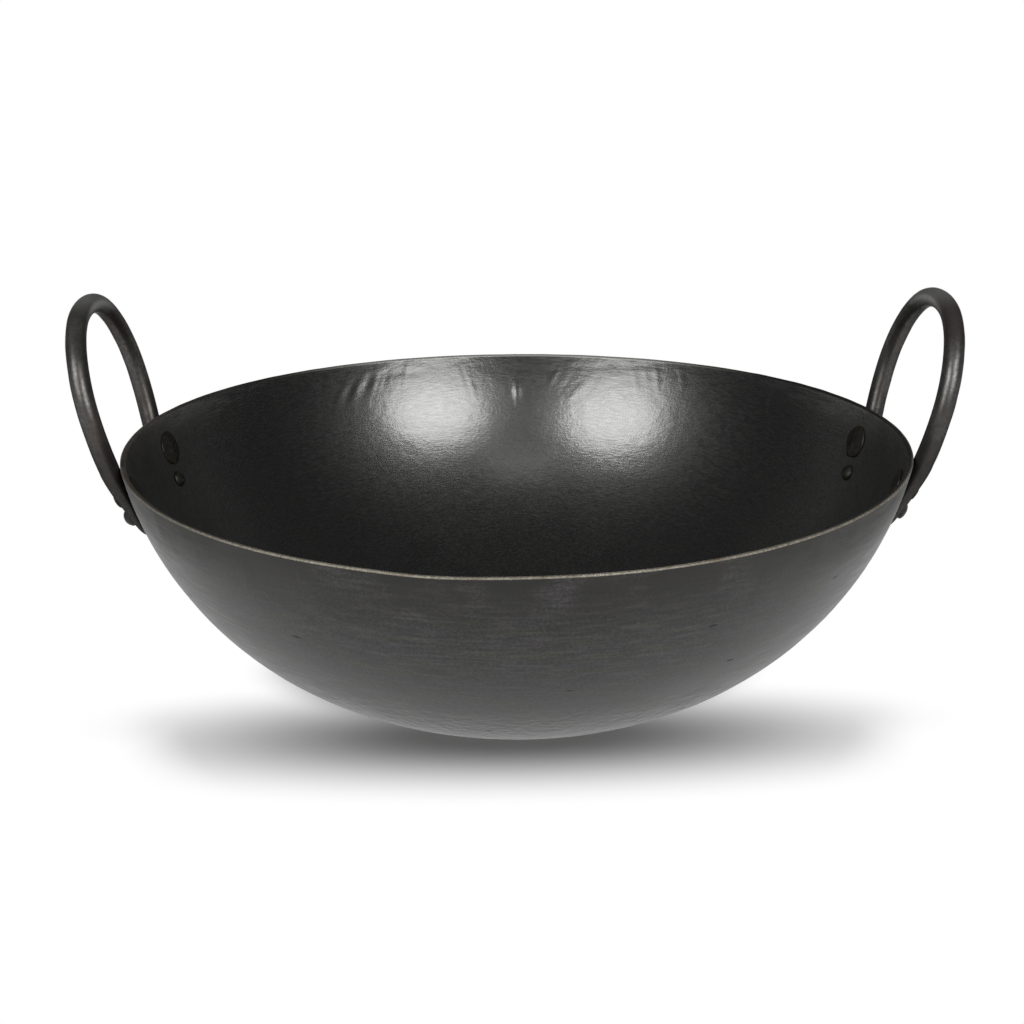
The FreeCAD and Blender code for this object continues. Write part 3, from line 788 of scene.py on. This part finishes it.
bar_finish = handle_finish()
stations = foot_stations("front") + loop_stations() + list(reversed(foot_stations("back")))
for side, sign in SIDES.items():
    rows = handle_rows(stations, forge_seed * sign)
    rows[..., 0] *= sign
    # The rings of the right one are turned round, so that its faces look outward like those of the left.
    if sign > 0:
        rows = rows[:, ::-1]
    mesh = ring_mesh(f"loop_handle_{side}", rows, rows[0].mean(0), rows[-1].mean(0))
    mesh.materials.append(bar_finish)
    handle = show(f"loop_handle_{side}", mesh)
    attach(handle, "root")
    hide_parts(f"handle_{side}")

# The rivets
# Eight iron rivets, two to a leg, put through the wall and closed by hammer. The upper ones have a broad
# low head inside and are beaten flush outside; the lower ones have a small domed head at both ends.
upper_shank = 0.006
upper_head = 0.0145
upper_head_height = 0.0014
lower_shank = 0.004
lower_head = 0.007
lower_head_height = 0.0019
lower_head_side = 0.0012
inner_head_seat = 0.985
inner_head_edge = 0.0003
outer_head_seat = 0.97
outer_head_edge = 0.0002
flush_crown = 0.00012
flush_edge = 0.0004
# The flush end bulges a little. Each pair gives a share of the shank's radius and of the crown's height.
FLUSH_END = ((1.0, 0.0), (0.9, 1.0), (0.6, 1.1), (0.25, 1.1))
rivet_points = 48
dome_steps = 9
hammer_dint = 0.0004
hammer_dint_size = 0.005
slope_reach = 0.001


def dome(radius, height, base, direction):
    """Points of a domed head from its edge to near its middle: distance from the axis, place along it."""
    ball = radius ** 2 / (2 * height) + height / 2
    swing = math.asin(min(radius / ball, 1))
    turns = [swing * (1 - step / dome_steps) for step in range(dome_steps)]
    return [(ball * math.sin(turn), base + direction * (ball * math.cos(turn) - ball * math.cos(swing)))
            for turn in turns]


def rivet_section(row, drop):
    """A rivet's section from the middle of its inside head to the middle of its outer end."""
    head, shank, rise = ((upper_head, upper_shank, upper_head_height) if row == "upper"
                         else (lower_head, lower_shank, lower_head_height))
    under = -sheet - seat_gap - head ** 2 / (8 * wall_radius)
    section = list(reversed(dome(head / 2, rise, under - inner_head_edge, -1)))
    section += [(head / 2 * inner_head_seat, under), (shank / 2, under)]
    if row == "upper":
        top = foot_thickness(drop)
        section.append((shank / 2, top - flush_edge))
        section += [(shank / 2 * share, top + flush_crown * bulge) for share, bulge in FLUSH_END]
    else:
        top = tab_thickness + seat_gap
        section += [(shank / 2, top), (head / 2 * outer_head_seat, top), (head / 2, top + outer_head_edge)]
        section += dome(head / 2, rise, top + lower_head_side, 1)
    return section


def rivet_rows(row, leg, side):
    """Rings of points of one rivet in its place, with the dints of the hammer that closed it."""
    drop = (upper_drop if row == "upper" else lower_drop)[leg]
    seat, square = leg_seat(drop, LEGS[leg])
    below, _ = leg_seat(drop + slope_reach, LEGS[leg])
    down = (below - seat - square * (below - seat).dot(square)).normalized()
    across = square.cross(down)
    slope = (foot_thickness(drop + slope_reach) - foot_thickness(drop - slope_reach)) / (2 * slope_reach)
    # Each leg of each handle has dints of its own.
    seed = Vector((SIDES[side] * 5, LEGS[leg] * 7, 5))
    rings = []
    for radius, along in rivet_section(row, drop):
        ring = []
        for step in range(rivet_points):
            swing = 2 * math.pi * step / rivet_points
            flat = down * math.cos(swing) + across * math.sin(swing)
            rise = along
            if row == "upper" and along > 0:
                rise += slope * radius * math.cos(swing)
            spot = seat + flat * radius + square * rise
            uneven = perlin.noise(spot / hammer_dint_size + seed) * hammer_dint
            ring.append(tuple(spot + (square * math.copysign(1, along) + flat) * uneven))
        rings.append(ring)
    rows = np.array(rings)
    # At the left the rivet is mirrored, and its rings are turned round so that its faces look outward.
    if SIDES[side] < 0:
        rows[..., 0] *= -1
        rows = rows[:, ::-1]
    return rows


def rivet_finish():
    """Black hammered iron, mottled with brown."""
    darker_black = (0.0012, 0.0012, 0.0011)
    oil_brown = (0.0125, 0.0105, 0.0065)
    mottle_size = 0.0022
    pit_size = 0.0015
    pit_depth = 0.0003
    finish, shader = new_finish("hammered_rivet", Specular_IOR_Level=0.28)
    place = spot_in_metres(finish)
    mottled = grain(finish, place, mottle_size, 4)
    colour = blend(finish, span(finish, mottled, 0.35, 0.65), darker_black, oil_brown)
    link(finish, colour, shader.inputs["Base Color"])
    link(finish, span(finish, mottled, 0.3, 0.7, 0.58, 0.42), shader.inputs["Roughness"])
    relief = bump(finish, grain(finish, place, pit_size, 3), pit_depth, 0.5)
    link(finish, relief, shader.inputs["Normal"])
    return finish


closed_rivet = rivet_finish()
for side in SIDES:
    for leg in LEGS:
        for row in ("upper", "lower"):
            node = f"{row}_rivet_{side}_{leg}"
            rows = rivet_rows(row, leg, side)
            mesh = ring_mesh(f"hammered_{node}", rows, rows[0].mean(0), rows[-1].mean(0))
            mesh.materials.append(closed_rivet)
            rivet = show(f"hammered_{node}", mesh)
            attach(rivet, "root")
            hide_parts(node)

# The floor
# A wide sheet of matt white paper that the kadai stands on. It reaches past the edges of the picture, and
# out from under the bowl it glows a plain white, like a table lit from below.
floor_reach = 60.0
FLOOR_CORNERS = ((-1, -1), (1, -1), (1, 1), (-1, 1))
paper_white = 0.9
paper_mottle = 0.012
paper_grain_size = 0.004
paper_fill = 0.06
mirrored_white = 1.0
# Three soft patches where the paper doesn't glow: in front of the bowl, behind it and right under it. The
# glow coming up round them paints the soft edge of the bowl's shadow. Each has its middle, its two half
# widths, and the shares of these between which the glow comes up.
PATCHES = (
    ((-0.0025, -0.056), (0.118, 0.031), (0.24, 1.88)),
    ((-0.002, 0.045), (0.108, 0.108), (0.32, 1.08)),
    ((-0.004, 0.012), (0.112, 0.06), (0.62, 1.06)),
)
floor_mesh = bpy.data.meshes.new("white_floor")
floor_points = [(x * floor_reach, y * floor_reach, 0) for x, y in FLOOR_CORNERS]
floor_mesh.from_pydata(floor_points, [], [(0, 1, 2, 3)])
paper, shader = new_finish("white_paper", Roughness=0.9, Specular_IOR_Level=0.0,
                           Emission_Color=(1, 1, 1, 1), Emission_Strength=paper_fill)
fibres = grain(paper, spot_in_metres(paper), paper_grain_size, 3)
fibre_colour = blend(paper, fibres, (paper_white,) * 3, (paper_white - paper_mottle,) * 3)
link(paper, fibre_colour, shader.inputs["Base Color"])
ray = add_node(paper, "ShaderNodeLightPath").outputs
mirrored = sums(paper, "MAXIMUM", ray["Is Glossy Ray"], ray["Is Transmission Ray"])
glowing = 1.0
for middle, half_widths, (dark, full) in PATCHES:
    place = add_node(paper, "ShaderNodeVectorMath", {0: spot_in_metres(paper), 1: (*middle, 0)},
                     operation="SUBTRACT").outputs[0]
    place = add_node(paper, "ShaderNodeVectorMath", {0: place, 1: (*half_widths, 1)},
                     operation="DIVIDE").outputs[0]
    far_out = add_node(paper, "ShaderNodeVectorMath", {0: place}, operation="LENGTH").outputs["Value"]
    glow = add_node(paper, "ShaderNodeMapRange", {"Value": far_out, "From Min": dark, "From Max": full},
                    interpolation_type="SMOOTHSTEP").outputs[0]
    glowing = sums(paper, "MULTIPLY", glowing, glow)
share = sums(paper, "MAXIMUM", mirrored, sums(paper, "MULTIPLY", ray["Is Camera Ray"], glowing))
white = add_node(paper, "ShaderNodeEmission", {"Strength": mirrored_white}).outputs[0]
seen = add_node(paper, "ShaderNodeMixShader", {0: share, 1: shader.outputs[0], 2: white}).outputs[0]
link(paper, seen, paper.node_tree.nodes["Material Output"].inputs["Surface"])
floor_mesh.materials.append(paper)
floor = show("white_floor", floor_mesh)

# The light
# Two soft boxes in front, at the left and right, each brighter in its upper part, and a faint one above
# them light only the kadai. A broad soft light straight overhead lights only the paper and gives it the
# shadow under the bowl. The room is dim, and the kadai mirrors it as white at the horizon.
box_distance = 1.5
# Each box has its azimuth and elevation in degrees from the front, its width, its height and its glow.
BOXES = {
    "right": (29, 28.5, 0.88, 0.9, 6.9),
    "right_upper": (29, 34, 0.82, 0.6, 5.2),
    "left": (-38.5, 30, 0.89, 0.94, 6.7),
    "left_upper": (-38, 35.5, 0.79, 0.64, 5.0),
    "top": (-3, 56.5, 0.55, 0.34, 1.4),
}
box_white = (1.0, 1.0, 0.975)
box_aim = Vector((0, 0.1, 0.09))
paper_light = 3.25
paper_light_spread = math.radians(16)
room_glow = 0.085
horizon_top = math.sin(math.radians(4))

for side, (azimuth, elevation, width, height, glow) in BOXES.items():
    lamp = bpy.data.lights.new(f"soft_box_{side}", "AREA")
    lamp.shape = "ELLIPSE"
    lamp.size = width
    lamp.size_y = height
    lamp.energy = glow * math.pi * (math.pi / 4 * width * height)
    lamp.color = box_white
    box = show(f"soft_box_{side}", lamp)
    level = math.cos(math.radians(elevation))
    away = Vector((math.sin(math.radians(azimuth)) * level, -math.cos(math.radians(azimuth)) * level,
                   math.sin(math.radians(elevation))))
    box.location = box_aim + away * box_distance
    box.rotation_euler = away.to_track_quat("Z", "Y").to_euler()
    spared = bpy.data.collections.new(f"not_lit_by_box_{side}")
    spared.objects.link(floor)
    spared.collection_objects[0].light_linking.link_state = "EXCLUDE"
    box.light_linking.receiver_collection = spared

lit_paper = bpy.data.collections.new("lit_paper")
lit_paper.objects.link(floor)
lamp = bpy.data.lights.new("paper_light", "SUN")
lamp.energy = paper_light
lamp.angle = paper_light_spread
paper_lamp = show("paper_light", lamp)
paper_lamp.light_linking.receiver_collection = lit_paper

room = bpy.data.worlds.new("studio_room")
room.use_nodes = True
bpy.context.scene.world = room
backdrop = room.node_tree.nodes["Background"]
backdrop.inputs["Color"].default_value = (1, 1, 1, 1)
ray = add_node(room, "ShaderNodeLightPath").outputs
view_up = add_node(room, "ShaderNodeSeparateXYZ",
                   {0: add_node(room, "ShaderNodeTexCoord").outputs["Generated"]}).outputs["Z"]
low_down = span(room, view_up, horizon_top, 0.0)
mirrored = sums(room, "MAXIMUM", ray["Is Glossy Ray"], ray["Is Transmission Ray"])
shown_white = sums(room, "MAXIMUM", ray["Is Camera Ray"], sums(room, "MULTIPLY", mirrored, low_down))
link(room, span(room, shown_white, 0, 1, room_glow, 1.0), backdrop.inputs["Strength"])

# The camera
# A lens of about 54 mm, 0.62 m in front of the middle of the bowl and 0.18 m above its rim. It looks down
# by about 19 degrees.
camera_place = Vector((-0.01451, -0.61777, 0.28599))
camera_yaw = math.radians(1.181)
camera_pitch = math.radians(18.734)
camera_roll = math.radians(0.203)
lens_mm = 54.29
sensor_mm = 36
sight_reach = 200
lens = bpy.data.cameras.new("camera")
lens.lens = lens_mm
lens.sensor_width = sensor_mm
lens.clip_end = sight_reach
camera = show("camera", lens)
forward = math.cos(camera_pitch)
ahead = Vector((math.sin(camera_yaw) * forward, math.cos(camera_yaw) * forward, -math.sin(camera_pitch)))
level = Vector((math.cos(camera_yaw), -math.sin(camera_yaw), 0))
right = Matrix.Rotation(camera_roll, 3, ahead) @ level
up = right.cross(ahead)
camera.matrix_world = Matrix((right, up, -ahead)).transposed().to_4x4()
camera.location = camera_place
bpy.context.scene.camera = camera
bpy.context.scene.view_settings.view_transform = "Standard"
